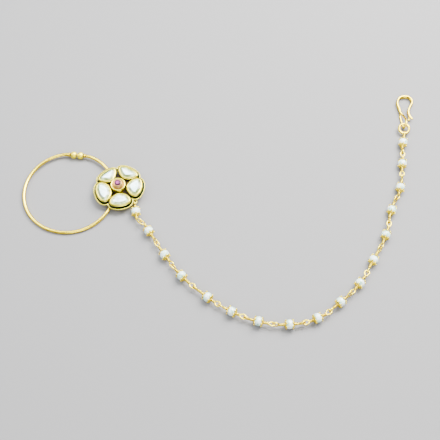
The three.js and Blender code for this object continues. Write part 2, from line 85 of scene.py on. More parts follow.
# angle, reach, depth, width, taper, twist of each petal
PETALS = [
    (57, 1.03, 0.91, 1.0, 0.37, 0),
    (-9, 1.01, 1.06, 0.98, 0.28, -4),
    (-85, 1.01, 1.02, 1.0, 0.22, -1),
    (-158, 0.98, 1.03, 1.1, 0.18, -6),
    (130, 0.96, 0.93, 0.94, 0.4, -4),
]

COLLET_DIAMETER = 6.6
COLLET_SHOULDER = 3.3
COLLET_HEIGHT = 4.6
COLLET_MOUTH = 3.5
CENTRE_STONE_DIAMETER = 2.8

BAIL_WIRE = 0.6
BAIL_RADIUS = 0.95
BAIL_HEIGHT = 0.95
BAIL_CLEARANCE = 0.15

PEARL_DIAMETER = 4
PIN_WIRE = 0.6
CAP_INNER = 2.1
CAP_OUTER = 2.43
CAP_ANGLE = 61
NECK_DIAMETER = 1.24
EYE_LENGTH = 3.2
EYE_WIDTH = 2.7
SHORT_EYE_LENGTH = 2.4
LINK_GAP = 0.1

# The way from the bail to the ring. For each pearl: heading of the step to it, its length as a share of
# PEARL_PITCH, and the turn of the eye after it. The last row is the step to the ring's middle.
PEARL_PITCH = 13
CHAIN_ROUTE = [
    (-81.3, 0.388, 65),
    (-57.7, 0.878, 60),
    (-57.9, 1.049, 45),
    (-52.9, 0.964, 0),
    (-41.6, 1.136, 15),
    (-32.8, 0.924, 0),
    (-21.7, 0.906, -20),
    (-6.0, 0.99, 90),
    (13.4, 0.929, 0),
    (35.9, 0.945, 65),
    (44.7, 0.946, 0),
    (58.4, 0.984, 50),
    (62.2, 1.048, 10),
    (73.1, 1.005, 60),
    (66.7, 0.963, 70),
    (80.1, 0.988, 10),
    (82.6, 0.896, 90),
    (80.5, 0.604, 0),
]
RING_DIAMETER = 5.7
RING_WIRE = 1.1
RING_TILT = 15
RING_LOW = 1.35

HOOK_WIRE = 0.9
HOOK_LENGTH = 18
HOOK_WIDTH = 6.7
STRAND_GAP = 0.06
HOOK_SHIFT = 0.35
# The upper strand's way from its tip round the bow, in shares of HOOK_WIDTH and HOOK_LENGTH
BOW_PLAN = [
    (0.64, 0.25),
    (0.46, 0.38),
    (0.44, 0.53),
    (0.59, 0.67),
    (0.76, 0.79),
    (0.73, 0.92),
    (0.53, 0.985),
    (0.22, 1),
    (-0.06, 0.96),
    (-0.23, 0.86),
    (-0.27, 0.75),
    (-0.2, 0.61),
    (-0.14, 0.49),
]
# Where the lower strand's tip ends, apart from the upper one's
FORKED_TIP = (0.4, 0.24)
# The wire's way round the eye. Its height is a share of the way up to a strand that clears the ring.
EYE_PLAN = [
    (0.02, 0.345, 0.42),
    (0.07, 0.235, 0.8),
    (0.1, 0.135, 1),
    (0.08, 0.055, 1.04),
    (0.04, 0.0, 0.9),
    (0.0, -0.01, 0.5),
    (-0.03, 0.01, 0.1),
    (-0.07, 0.11, 0),
    (-0.13, 0.23, 0),
    (-0.16, 0.36, 0),
]


# Shapes
class Shape:
    """Points in millimetres and faces, gathered before they become one mesh."""

    def __init__(self):
        self.points = []
        self.faces = []
        self.smooth = []
        self.slots = []

    def add(self, points, faces, smooth=True, slot=0):
        start = len(self.points)
        self.points.extend(Vector(p) for p in points)
        self.faces.extend([start + i for i in face] for face in faces)
        self.smooth.extend([smooth] * len(faces))
        self.slots.extend([slot] * len(faces))
        return self

    def merge(self, other, matrix=Matrix.Identity(4)):
        start = len(self.points)
        self.points.extend(matrix @ p for p in other.points)
        self.faces.extend([start + i for i in face] for face in other.faces)
        self.smooth.extend(other.smooth)
        self.slots.extend(other.slots)
        return self

    def build(self, name, looks, slot, nodes, matrix):
        """Makes the piece, in metres, in place of the CAD nodes."""
        mesh = bpy.data.meshes.new(name)
        mesh.from_pydata([(matrix @ p) * MM for p in self.points], [], self.faces)
        mesh.polygons.foreach_set("use_smooth", self.smooth)
        mesh.polygons.foreach_set("material_index", self.slots)
        mesh.update()
        piece = bpy.data.objects.new(name, mesh)
        bpy.context.scene.collection.objects.link(piece)
        for look in looks:
            mesh.materials.append(look)
        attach(piece, "root")
        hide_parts(*nodes)


def loft(rings, looped=False, smooth=True, slot=0):
    """A skin over rings of points, all of one length, with a fan at each end unless it is looped."""
    count = len(rings[0])
    points = [p for ring in rings for p in ring]
    faces = []
    spans = len(rings) if looped else len(rings) - 1
    for k in range(spans):
        low, high = k * count, ((k + 1) % len(rings)) * count
        for i in range(count):
            j = (i + 1) % count
            faces.append((low + i, low + j, high + j, high + i))
    if not looped:
        for ring_start, flip in ((0, True), ((len(rings) - 1) * count, False)):
            ring = points[ring_start:ring_start + count]
            points.append(sum((Vector(p) for p in ring), Vector()) / count)
            middle = len(points) - 1
            for i in range(count):
                a, b = ring_start + i, ring_start + (i + 1) % count
                faces.append((middle, b, a) if flip else (middle, a, b))
    return Shape().add(points, faces, smooth, slot)


def turned(profile, sides, axis="X", looped=False, slot=0):
    """A turned shape. profile: (radius, place along the axis), in the order of rising place outside."""
    rings = []
    for radius, place in profile:
        ring = []
        for i in range(sides):
            angle = math.tau * i / sides
            across, over = radius * math.cos(angle), radius * math.sin(angle)
            ring.append((place, across, over) if axis == "X" else (across, over, place))
        rings.append(ring)
    return loft(rings, looped, slot=slot)


def tube(points, radius, sides, closed=False):
    """A round wire along points. radius: a number, or one for each point."""
    points = [Vector(p) for p in points]
    count = len(points)
    radii = [radius] * count if isinstance(radius, (int, float)) else radius
    tangents = []
    for i in range(count):
        before = points[i - 1] if closed or i > 0 else points[i]
        after = points[(i + 1) % count] if closed or i < count - 1 else points[i]
        tangents.append((after - before).normalized())
    side = tangents[0].orthogonal().normalized()
    side_ways = []
    for tangent in tangents:
        side = (side - tangent * side.dot(tangent)).normalized()
        side_ways.append(side)
    twist = 0.0
    if closed:
        last = side_ways[-1] - tangents[0] * side_ways[-1].dot(tangents[0])
        twist = math.atan2(last.cross(side_ways[0]).dot(tangents[0]), last.dot(side_ways[0]))
    rings = []
    for i, (point, tangent, across) in enumerate(zip(points, tangents, side_ways)):
        over = tangent.cross(across)
        start = twist * i / count
        ring = []
        for k in range(sides):
            angle = start + math.tau * k / sides
            ring.append(point + (across * math.cos(angle) + over * math.sin(angle)) * radii[i])
        rings.append(ring)
    return loft(rings, closed)


def polar_angle(i, bands, inset):
    """The polar angle of a ball's edge i. inset: how many bands the end edges are from the poles."""
    return math.pi * (1 - (i + inset) / (bands + 2 * inset))


def on_ball(reach, polar, angle, side=1):
    """A point at polar from the X axis, from its other end where side is -1, and at angle round it."""
    return (
        side * reach * math.cos(polar),
        reach * math.sin(polar) * math.cos(angle),
        reach * math.sin(polar) * math.sin(angle),
    )


BALL_INSET = 0.02


def ball(centre, radius, sides, bands):
    profile = []
    for i in range(bands + 1):
        angle = polar_angle(i, bands, BALL_INSET)
        profile.append((radius * math.sin(angle), radius * math.cos(angle)))
    return Shape().merge(turned(profile, sides), Matrix.Translation(Vector(centre)))


def smooth_path(points, steps):
    """A smooth curve through points, of the same kind as in the CAD model."""
    points = [Vector(p) for p in points]
    first = points[0] * 2 - points[1]
    last = points[-1] * 2 - points[-2]
    padded = [first, *points, last]
    result = []
    for step in range(steps + 1):
        place = (len(points) - 1) * step / steps
        i = min(int(place), len(points) - 2)
        t = place - i
        p0, p1, p2, p3 = padded[i:i + 4]
        d0 = (p1 - p0).length ** 0.5
        d1 = (p2 - p1).length ** 0.5
        d2 = (p3 - p2).length ** 0.5
        m1 = ((p1 - p0) / d0 - (p2 - p0) / (d0 + d1) + (p2 - p1) / d1) * d1
        m2 = ((p2 - p1) / d1 - (p3 - p1) / (d1 + d2) + (p3 - p2) / d2) * d1
        c2 = (p2 - p1) * 3 - m1 * 2 - m2
        c3 = (p1 - p2) * 2 + m1 + m2
        result.append(p1 + m1 * t + c2 * t * t + c3 * t * t * t)
    return result


# Petal outlines, as in the CAD model
def petal_outline(petal, grow, count):
    angle, reach, depth, width, taper, twist = petal
    half_depth = depth * PETAL_DEPTH / 2
    half_width = width * PETAL_WIDTH / 2
    centre = Matrix.Rotation(math.radians(angle), 2) @ Vector((reach * PETAL_CIRCLE, 0))
    turn = Matrix.Rotation(math.radians(angle + twist), 2)
    outline = []
    for i in range(count):
        t = math.tau * (i + 0.5) / count
        spread = 1 + taper * math.cos(t)
        point = Vector((half_depth * math.cos(t), half_width * math.sin(t) * spread))
        tangent = Vector((
            -half_depth * math.sin(t),
            half_width * (math.cos(t) * spread - taper * math.sin(t) ** 2),
        )).normalized()
        point += Vector((tangent.y, -tangent.x)) * grow
        outline.append(turn @ point + centre)
    return outline


def flower_radius(grow, heart, angles, count=240):
    """The farthest edge of the petals and the heart, in each direction from the flower's centre."""
    farthest = np.full(len(angles), heart, float)
    directions = np.stack([np.cos(angles), np.sin(angles)], 1)
    for petal in PETALS:
        outline = np.array([tuple(p) for p in petal_outline(petal, grow, count)])
        following = np.roll(outline, -1, 0)
        for i, direction in enumerate(directions):
            side_a = outline[:, 0] * direction[1] - outline[:, 1] * direction[0]
            side_b = following[:, 0] * direction[1] - following[:, 1] * direction[0]
            crossing = side_a * side_b <= 0
            a, b = side_a[crossing], side_b[crossing]
            share = a / np.where(a == b, 1, a - b)
            hits = outline[crossing] + (following - outline)[crossing] * share[:, None]
            if len(hits):
                farthest[i] = max(farthest[i], (hits @ direction).max())
    return farthest


# Where things are
closure_distance = math.sqrt(HOOP_RADIUS ** 2 - (CLOSURE_LENGTH / 2) ** 2)
bead_lift = BEAD_DIAMETER / 2 - HOOP_WIRE / 2
hoop_tilt = math.asin(bead_lift / (closure_distance + HOOP_RADIUS))
hoop_height = HOOP_WIRE / 2 + HOOP_RADIUS * math.sin(hoop_tilt)
front = (
    Matrix.Translation((0, 0, hoop_height))
    @ Matrix.Rotation(math.radians(HOOP_TURN), 4, "Z")
    @ Matrix.Rotation(hoop_tilt, 4, "X")
)
flower_place = HOOP_RADIUS + FLOWER_OFFSET
flower_turn = math.radians(FLOWER_ANGLE)
flower = (
    front
    @ Matrix.Translation((
        flower_place * math.cos(flower_turn), flower_place * math.sin(flower_turn), 0,
    ))
    @ Matrix.Rotation(flower_turn, 4, "Z")
)

bail_angle = math.radians((PETALS[1][0] + PETALS[2][0]) / 2)
bail_foot = flower_radius(
    CHANNEL_WIDTH + RIM_WIDTH, 0, np.array([bail_angle]), CAD_PETAL_SIDES,
)[0]


def loop_distance():
    """From the flower's centre to the middle of the bail's loop."""
    heading = math.radians(CHAIN_ROUTE[0][0] - HOOP_TURN - FLOWER_ANGLE)
    aside = Vector((-math.sin(heading), math.cos(heading)))
    rim = petal_outline(PETALS[2], CHANNEL_WIDTH + RIM_WIDTH, CAD_PETAL_SIDES)
    rim_side = max(point.dot(aside) for point in rim)
    outwards = Vector((math.cos(bail_angle), math.sin(bail_angle)))
    return (rim_side + PIN_WIRE / 2 + BAIL_CLEARANCE) / outwards.dot(aside)


loop_place = loop_distance()
chain_height = CAP_OUTER * math.sin(math.radians(CAP_ANGLE))
bail_start = flower @ (Matrix.Rotation(bail_angle, 4, "Z") @ Vector((loop_place, 0, BAIL_HEIGHT)))
bail_start.z = chain_height
steps = [bail_start]
for heading, reach, _ in CHAIN_ROUTE:
    step = Matrix.Rotation(math.radians(heading), 4, "Z") @ Vector((reach * PEARL_PITCH, 0, 0))
    steps.append(steps[-1] + step)
pearl_places = steps[1:-1]
last_pearl = len(pearl_places) - 1
ring_middle = steps[-1].copy()
ring_radius = (RING_DIAMETER - RING_WIRE) / 2
ring_slope = math.radians(RING_TILT)
ring_middle.z = RING_LOW + ring_radius * math.sin(ring_slope)
ring_near = ring_middle + Vector((0, -ring_radius * math.cos(ring_slope), RING_LOW - ring_middle.z))
stops = [bail_start, *pearl_places, ring_near]
pearl_axes = []
for i, place in enumerate(pearl_places):
    before = place if i == last_pearl else stops[i]
    after = place if i == 0 else stops[i + 2]
    pearl_axes.append(Vector((after.x - before.x, after.y - before.y, 0)).normalized())

eye_stretch = (EYE_LENGTH - PIN_WIRE) / (EYE_WIDTH - PIN_WIRE)
eye_end_wire = PIN_WIRE * eye_stretch
eye_span = 2 * (EYE_LENGTH - PIN_WIRE) - eye_end_wire - LINK_GAP


def neck_between(i):
    start = pearl_places[i] + pearl_axes[i] * CAP_OUTER
    end = pearl_places[i + 1] - pearl_axes[i + 1] * CAP_OUTER
    way = end - start
    both = pearl_axes[i] + pearl_axes[i + 1]
    a = both.length_squared
    b = way.dot(both)
    return (b - math.sqrt(b * b - a * (way.length_squared - eye_span ** 2))) / a


necks = [neck_between(i) for i in range(last_pearl)]
bail_far = BAIL_RADIUS - (BAIL_WIRE + PIN_WIRE) / 2 - LINK_GAP
first_neck = (
    (bail_start - pearl_places[0]).length - CAP_OUTER - bail_far - (SHORT_EYE_LENGTH - PIN_WIRE)
)
last_eye_reach = EYE_LENGTH - PIN_WIRE - (RING_WIRE + eye_end_wire) / 2 - 2 * LINK_GAP
last_eye_level = math.sqrt(last_eye_reach ** 2 - (chain_height - RING_LOW) ** 2)
to_ring = ring_near - pearl_places[-1]
last_neck = Vector((to_ring.x, to_ring.y)).length - CAP_OUTER - last_eye_level


def neck_end(i, side, length):
    return pearl_places[i] + pearl_axes[i] * side * (CAP_OUTER + length)


# The CAD model is shifted so that its origin is under its middle. The first pearl shows by how much.
pearl_low, pearl_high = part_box("pearl_01")
shift = Matrix.Translation((pearl_low + pearl_high) / (2 * MM) - pearl_places[0])


# Materials. Their distances are in metres, and a noise's scale is for a metre.
def new_material(name):
    look = bpy.data.materials.new(name)
    look.use_nodes = True
    nodes = look.node_tree.nodes
    return look, nodes, look.node_tree.links, nodes["Principled BSDF"]


def noise(nodes, links, scale, detail):
    place = nodes.new("ShaderNodeTexCoord")
    texture = nodes.new("ShaderNodeTexNoise")
    texture.inputs["Scale"].default_value = scale
    texture.inputs["Detail"].default_value = detail
    links.new(place.outputs["Object"], texture.inputs["Vector"])
    return texture.outputs["Fac"]


def ramp(nodes, links, source, places):
    """A colour ramp over the source. places: rows of a place from 0 to 1 and the colour there."""
    node = nodes.new("ShaderNodeValToRGB")
    elements = node.color_ramp.elements
    while len(elements) < len(places):
        elements.new(0.5)
    for element, (place, colour) in zip(elements, places):
        element.position = place
        element.color = (*colour, 1)
    links.new(source, node.inputs["Fac"])
    return node.outputs["Color"]


# Nearly all of a noise lies between these two
NOISE_LOW = 0.3
NOISE_HIGH = 0.7


def span(nodes, links, source, low, high):
    """Spreads a noise over low to high."""
    node = nodes.new("ShaderNodeMapRange")
    node.inputs["From Min"].default_value = NOISE_LOW
    node.inputs["From Max"].default_value = NOISE_HIGH
    node.inputs["To Min"].default_value = low
    node.inputs["To Max"].default_value = high
    links.new(source, node.inputs["Value"])
    return node.outputs["Result"]


def bump(nodes, links, source, shader, strength, distance):
    node = nodes.new("ShaderNodeBump")
    node.inputs["Strength"].default_value = strength
    node.inputs["Distance"].default_value = distance
    links.new(source, node.inputs["Height"])
    links.new(node.outputs["Normal"], shader.inputs["Normal"])


# How open a place is where its colour is all painted shade, and where it has no painted shade left
CREVICE_OPENNESS = 0.15
CLEAR_OPENNESS = 0.75
OPENNESS_SAMPLES = 6


def crevices(nodes, links, colour, dark, distance):
    """The colour, darkened where other surfaces are close: painted shade in crevices."""
    shade = nodes.new("ShaderNodeAmbientOcclusion")
    shade.samples = OPENNESS_SAMPLES
    shade.inputs["Distance"].default_value = distance
    tone = nodes.new("ShaderNodeMapRange")
    tone.inputs["From Min"].default_value = CREVICE_OPENNESS
    tone.inputs["From Max"].default_value = CLEAR_OPENNESS
    links.new(shade.outputs["AO"], tone.inputs["Value"])
    mix = nodes.new("ShaderNodeMix")
    mix.data_type = "RGBA"
    mix.inputs["A"].default_value = (*dark, 1)
    links.new(tone.outputs["Result"], mix.inputs["Factor"])
    links.new(colour, mix.inputs["B"])
    return mix.outputs["Result"]


# The colour of the gold's reflections seen at a low angle
GOLD_EDGE = (1.0, 0.74, 0.12, 1)
# The roughness where the gold is smoothest and where it is roughest, as shares of its own
GOLD_WEAR = (0.75, 1.3)


def make_gold(name, light, deep, dark, roughness, grain):
    look, nodes, links, shader = new_material(name)
    patches = noise(nodes, links, scale=260, detail=4)
    colour = ramp(nodes, links, patches, [(0.35, deep), (0.65, light)])
    # Painted shade: the colour darkens in crevices
    crevice_shaded = crevices(nodes, links, colour, dark, distance=0.0009)
    links.new(crevice_shaded, shader.inputs["Base Color"])
    shader.inputs["Metallic"].default_value = 1
    shader.inputs["Specular Tint"].default_value = GOLD_EDGE
    fine = noise(nodes, links, scale=1500, detail=3)
    smoothest, roughest = [roughness * share for share in GOLD_WEAR]
    links.new(span(nodes, links, fine, smoothest, roughest), shader.inputs["Roughness"])
    relief = noise(nodes, links, scale=900, detail=2)
    bump(nodes, links, relief, shader, strength=grain, distance=0.00006)
    return look


ENAMEL_SHADOW = (0.004, 0.005, 0.001)


def make_enamel(name, tones, roughness, coat, specular):
    look, nodes, links, shader = new_material(name)
    patches = noise(nodes, links, scale=500, detail=4)
    colour = ramp(nodes, links, patches, tones)
    # Painted shade: the colour darkens in crevices
    crevice_shaded = crevices(nodes, links, colour, ENAMEL_SHADOW, distance=0.0014)
    links.new(crevice_shaded, shader.inputs["Base Color"])
    shader.inputs["Roughness"].default_value = roughness
    shader.inputs["Coat Weight"].default_value = coat
    shader.inputs["Specular IOR Level"].default_value = specular
    relief = noise(nodes, links, scale=1200, detail=2)
    bump(nodes, links, relief, shader, strength=0.2, distance=0.00005)
    return look


STONE_SHADOW = (0.2, 0.24, 0.14)
STONE_CLOUDS = (0.38, 0.5, 0.62)


def make_white_stone(name, tones):
    look, nodes, links, shader = new_material(name)
    clouds = noise(nodes, links, scale=320, detail=5)
    colour = ramp(nodes, links, clouds, list(zip(STONE_CLOUDS, tones)))
    # Painted shade: the colour darkens in crevices
    crevice_shaded = crevices(nodes, links, colour, STONE_SHADOW, distance=0.0007)
    links.new(crevice_shaded, shader.inputs["Base Color"])
    shader.inputs["Roughness"].default_value = 0.09
    shader.inputs["IOR"].default_value = 1.6
    shader.inputs["Coat Weight"].default_value = 0.6
    shader.inputs["Coat Roughness"].default_value = 0.04
    relief = noise(nodes, links, scale=700, detail=3)
    bump(nodes, links, relief, shader, strength=0.12, distance=0.00008)
    return look


def make_pink_stone(name, tones):
    look, nodes, links, shader = new_material(name)
    clouds = noise(nodes, links, scale=900, detail=4)
    links.new(ramp(nodes, links, clouds, tones), shader.inputs["Base Color"])
    shader.inputs["Roughness"].default_value = 0.3
    shader.inputs["Specular IOR Level"].default_value = 0.25
    return look


PEARL_SHADOW = (0.1, 0.13, 0.1)
PEARL_TONES = [
    (0.36, (0.26, 0.46, 0.36)),
    (0.47, (0.56, 0.86, 0.74)),
    (0.55, (0.74, 0.76, 0.84)),
    (0.64, (0.78, 0.98, 0.93)),
]


def make_pearl_look():
    look, nodes, links, shader = new_material("pearl")
    clouds = noise(nodes, links, scale=620, detail=4)
    colour = ramp(nodes, links, clouds, PEARL_TONES)
    # Painted shade: the colour darkens in crevices
    crevice_shaded = crevices(nodes, links, colour, PEARL_SHADOW, distance=0.0014)
    links.new(crevice_shaded, shader.inputs["Base Color"])
    shader.inputs["Roughness"].default_value = 0.3
    shader.inputs["Sheen Weight"].default_value = 0.25
    shader.inputs["Coat Weight"].default_value = 0.55
    shader.inputs["Coat Roughness"].default_value = 0.14
    relief = noise(nodes, links, scale=900, detail=3)
    bump(nodes, links, relief, shader, strength=0.16, distance=0.00008)
    return look


# name, light colour, deep colour, painted shade colour in crevices, roughness and strength of the grain
GOLDS = [
    ("wire_gold", (1.0, 0.78, 0.015), (0.84, 0.6, 0.008), (0.1, 0.06, 0.003), 0.24, 0.2),
    ("bead_gold", (1.0, 0.87, 0.012), (0.94, 0.76, 0.006), (0.1, 0.06, 0.003), 0.44, 1.0),
    ("setting_gold", (0.8, 0.7, 0.07), (0.58, 0.5, 0.03), (0.07, 0.055, 0.003), 0.32, 0.4),
    ("chain_gold", (1.0, 0.8, 0.02), (0.86, 0.64, 0.01), (0.09, 0.055, 0.003), 0.26, 0.3),
    # The collet's cone: gold with a pink tint that paints the ruby's reflection
    ("ruby_reflection_gold", (0.62, 0.38, 0.15), (0.42, 0.23, 0.09), (0.05, 0.02, 0.005), 0.36, 0.4),
]
GREEN_TONES = [(0.3, (0.003, 0.014, 0.002)), (0.7, (0.012, 0.045, 0.006))]
# Dark brown for the enamel in the flower's heart: painted shade in its recesses
HEART_SHADE_TONES = [(0.3, (0.006, 0.002, 0.0005)), (0.7, (0.03, 0.016, 0.003))]
WHITE_TONES = [(0.4, 0.68, 0.64), (0.64, 0.9, 0.93), (0.86, 1.0, 0.98)]
# The white stone's tones made darker for the third stone: painted shade
SHADED_STONE_TONES = [(0.3, 0.42, 0.42), (0.56, 0.7, 0.72), (0.86, 0.97, 1.0)]
# Darker tones for the stones' crown facets: painted dark reflections
CROWN_TONES = [(0.04, 0.06, 0.01), (0.19, 0.25, 0.06), (0.6, 0.72, 0.46)]
PINK_TONES = [(0.3, (0.14, 0.001, 0.08)), (0.7, (0.34, 0.01, 0.24))]
# Darker tones for the centre stone's crown facets: painted shade from its setting
PINK_CROWN_TONES = [(0.3, (0.015, 0.0, 0.008)), (0.7, (0.06, 0.001, 0.035))]

wire_gold, bead_gold, setting_gold, chain_gold, ruby_reflection_gold = [make_gold(*row) for row in GOLDS]
green_enamel = make_enamel("green_enamel", GREEN_TONES, roughness=0.24, coat=0.2, specular=0.5)
shaded_heart_enamel = make_enamel("shaded_heart_enamel", HEART_SHADE_TONES, roughness=0.62, coat=0, specular=0.2)
white_stone = make_white_stone("white_stone", WHITE_TONES)
shaded_stone = make_white_stone("shaded_stone", SHADED_STONE_TONES)
stone_crown = make_white_stone("stone_crown", CROWN_TONES)
pink_stone = make_pink_stone("pink_stone", PINK_TONES)
pink_crown = make_pink_stone("pink_crown", PINK_CROWN_TONES)
pearl_look = make_pearl_look()

# Hoop
bead_place = (BEAD_LENGTH + BEAD_GAP) / 2
ferrule_mouth = -(bead_place + BEAD_LENGTH / 2 + BEAD_GAP)
collar_middle = bead_place + BEAD_LENGTH / 2 + BEAD_GAP + COLLAR_LENGTH / 2
wire_start = collar_middle + COLLAR_LENGTH / 2
on_closure = Matrix.Translation((0, closure_distance, 0))
wire_radius = HOOP_WIRE / 2
pin_radius = CLOSURE_PIN / 2


def hoop_point(angle):
    from_closure = math.cos(angle - math.pi / 2)
    is_straight = from_closure > closure_distance / HOOP_RADIUS
    radius = closure_distance / from_closure if is_straight else HOOP_RADIUS
    return Vector((radius * math.cos(angle), radius * math.sin(angle), 0))


def rounded(points, times):
    """Points of an open line, evened out a few times."""
    for _ in range(times):
        inner = [(a + b * 2 + c) / 4 for a, b, c in zip(points, points[1:], points[2:])]
        points = [points[0], *inner, points[-1]]
    return points


HOOP_STEPS = 420
HOOP_ROUNDINGS = 60
HOOP_IN_FERRULE = 0.2
# The wire's unevenness, as a share of its radius, with its two waves in radians a step
UNEVENNESS = 0.02
SHORT_WAVE = 0.11
LONG_WAVE = 0.037
# The wire's first radii, as shares of its full one, where its end is filed round
FILED_END = (0.72, 0.88, 0.97)


def make_hoop_wire():
    right_end = math.atan2(closure_distance, wire_start)
    left_end = math.atan2(closure_distance, ferrule_mouth - HOOP_IN_FERRULE) - math.tau
    points = []
    radii = []
    for i in range(HOOP_STEPS + 1):
        points.append(hoop_point(right_end + (left_end - right_end) * i / HOOP_STEPS))
        uneven = UNEVENNESS * math.sin(i * SHORT_WAVE) * math.sin(i * LONG_WAVE)
        radii.append(wire_radius * (1 + uneven))
    for i, share in enumerate(FILED_END):
        radii[i] = wire_radius * share
    return tube(rounded(points, HOOP_ROUNDINGS), radii, sides=24)


def make_ferrule():
    """The hoop's flared end, stepped, with the mouth that takes the pin."""
    lip = FERRULE_DIAMETER / 2
    bore = pin_radius + 0.08
    profile = [
        (wire_radius * 0.98, ferrule_mouth - FERRULE_LENGTH),
        (wire_radius * 1.06, ferrule_mouth - FERRULE_LENGTH * 0.85),
        (wire_radius * 1.16, ferrule_mouth - FERRULE_LENGTH * 0.6),
        (wire_radius * 1.14, ferrule_mouth - FERRULE_LENGTH * 0.5),
        (wire_radius * 1.32, ferrule_mouth - FERRULE_LENGTH * 0.28),
        (lip * 0.98, ferrule_mouth - 0.22),
        (lip, ferrule_mouth - 0.1),
        (lip * 0.96, ferrule_mouth - 0.02),
        (lip * 0.82, ferrule_mouth),
        (lip * 0.6, ferrule_mouth - 0.05),
        (bore, ferrule_mouth - 0.1),
        (bore, ferrule_mouth - 0.8),
    ]
    return turned(profile, sides=40)


WRAP_RADIUS = 0.2
WRAP_TURNS = 2.2
WRAP_LENGTH = 0.72
WRAP_BEFORE_MIDDLE = 0.32
WRAP_STEPS = 60


def make_wrap():
    """The collar: fine wire wound round the pin where the hoop's wire starts."""
    reach = pin_radius + WRAP_RADIUS * 1.2
    points = []
    for i in range(WRAP_STEPS + 1):
        share = i / WRAP_STEPS
        angle = math.tau * WRAP_TURNS * share
        along = collar_middle - WRAP_BEFORE_MIDDLE + WRAP_LENGTH * share
        points.append((along, reach * math.cos(angle), reach * math.sin(angle)))
    return tube(points, WRAP_RADIUS, sides=10)


def make_hoop():
    pin = [(pin_radius, ferrule_mouth - 0.9), (pin_radius, wire_start + 0.3)]
    shape = make_hoop_wire()
    shape.merge(make_ferrule(), on_closure)
    shape.merge(turned(pin, sides=20), on_closure)
    return shape.merge(make_wrap(), on_closure)


make_hoop().build("hoop_wire", [wire_gold], "gold", ["hoop_and_setting"], shift @ front)


BEAD_STEPS = 28
BEAD_FULLNESS = 0.82
BARREL_SHARE = 0.93


def make_bead(place):
    """A full barrel bead with a lip round each end of its bore."""
    radius = BEAD_DIAMETER / 2
    half = BEAD_LENGTH / 2
    bore = pin_radius + 0.05
    start = math.asin((bore + 0.28) / radius)
    barrel = []
    for i in range(BEAD_STEPS + 1):
        angle = start + (math.pi - 2 * start) * i / BEAD_STEPS
        along = -half * BARREL_SHARE * math.cos(angle) / math.cos(start)
        barrel.append((radius * math.sin(angle) ** BEAD_FULLNESS, along))
    lip = [(bore + 0.22, half), (bore + 0.05, half), (bore, half * 0.9)]
    outline = [*[(r, -x) for r, x in reversed(lip)], *barrel, *lip]
    on_pin = on_closure @ Matrix.Translation((place, 0, 0))
    return Shape().merge(turned(outline, sides=44, looped=True), on_pin)


for number, place in ((1, -bead_place), (2, bead_place)):
    node = f"closure_bead_{number}"
    make_bead(place).build(f"bead_{number}", [bead_gold], "gold", [node], shift @ front)

# Flower
FLOWER_STEPS = 900
EDGE_LEAN = 1.0
flower_angles = np.linspace(0, math.tau, FLOWER_STEPS, endpoint=False)
rim_outer = flower_radius(CHANNEL_WIDTH + RIM_WIDTH, HEART_RADIUS, flower_angles)
rim_inner = flower_radius(CHANNEL_WIDTH, HEART_RADIUS, flower_angles)
on_flower = shift @ flower


def flower_ring(radii, height):
    return [
        (r * math.cos(a), r * math.sin(a), height) for r, a in zip(radii, flower_angles)
    ]


def make_tray():
    """Back plate with its edge leaning in below, and a rim with a rounded top."""

    def between(share):
        return rim_inner + (rim_outer - rim_inner) * share

    hub = rim_outer * 0.3
    plate_edge = rim_outer - EDGE_LEAN
    return loft([
        flower_ring(hub, PLATE_BOTTOM),
        flower_ring(plate_edge, PLATE_BOTTOM),
        flower_ring(plate_edge + 0.08, PLATE_BOTTOM + 0.08),
        flower_ring(between(0.45), PLATE_TOP - 0.1),
        flower_ring(between(0.5), PLATE_TOP + 0.35),
        flower_ring(between(0.7), PLATE_TOP + 0.42),
        flower_ring(between(0.7), RIM_TOP - 0.2),
        flower_ring(between(0.6), RIM_TOP - 0.06),
        flower_ring(between(0.4), RIM_TOP),
        flower_ring(between(0.15), RIM_TOP - 0.06),
        flower_ring(between(0), RIM_TOP - 0.2),
        flower_ring(between(0), PLATE_TOP),
        flower_ring(hub, PLATE_TOP),
    ])


def along_rim(radii, spacing):
    """Points at an even spacing along a closed outline round the flower."""
    points = [Vector(p) for p in flower_ring(radii, 0)]
    result = []
    left = 0.0
    for a, b in zip(points, [*points[1:], points[0]]):
        length = (b - a).length
        while left < length:
            result.append(a.lerp(b, left / length))
            left += spacing
        left -= length
    return result


RIM_GRAIN_RADIUS = 0.24
RIM_GRAIN_SPREAD = 0.12
RIM_GRAIN_SPACING = 0.5
RIM_GRAIN_INSET = 0.2
RIM_GRAIN_DEPTH = 0.26


def make_rim_grains():
    """Grains soldered side by side along the outside of the rim."""
    shape = Shape()
    for point in along_rim(rim_outer - RIM_GRAIN_INSET, RIM_GRAIN_SPACING):
        size = RIM_GRAIN_RADIUS * (1 + RIM_GRAIN_SPREAD * (rng.random() - 0.5))
        place = (point.x, point.y, RIM_TOP - RIM_GRAIN_DEPTH)
        shape.merge(ball(place, size, sides=10, bands=7))
    return shape


def petal_ring(petal, grow, height, count):
    return [(p.x, p.y, height) for p in petal_outline(petal, grow, count)]


ENAMEL_SKIN = 0.08
BEZEL_STEPS = 112


def make_bezel(petal):
    """A bezel: an upright wall, a rounded bevel and a lip over the stone's edge."""
    wall_top = BEZEL_TOP - BEZEL_SLOPE
    inside = -BEZEL_WIDTH - 0.06
    levels = [
        (-ENAMEL_SKIN, PLATE_TOP - 0.1),
        (-ENAMEL_SKIN, wall_top - 0.06),
        (-0.02, wall_top - 0.03),
        (0.0, wall_top + 0.04),
        (-0.06, wall_top + 0.16),
        (-0.3, wall_top + 0.36),
        (-0.56, BEZEL_TOP - 0.05),
        (-0.7, BEZEL_TOP),
        (-0.8, BEZEL_TOP - 0.02),
        (-BEZEL_WIDTH, BEZEL_TOP - 0.12),
        (inside, GIRDLE_TOP - 0.3),
        (inside, GIRDLE_TOP - 1.6),
    ]
    return loft([petal_ring(petal, grow, height, BEZEL_STEPS) for grow, height in levels])


COLLET_SIDES = 96


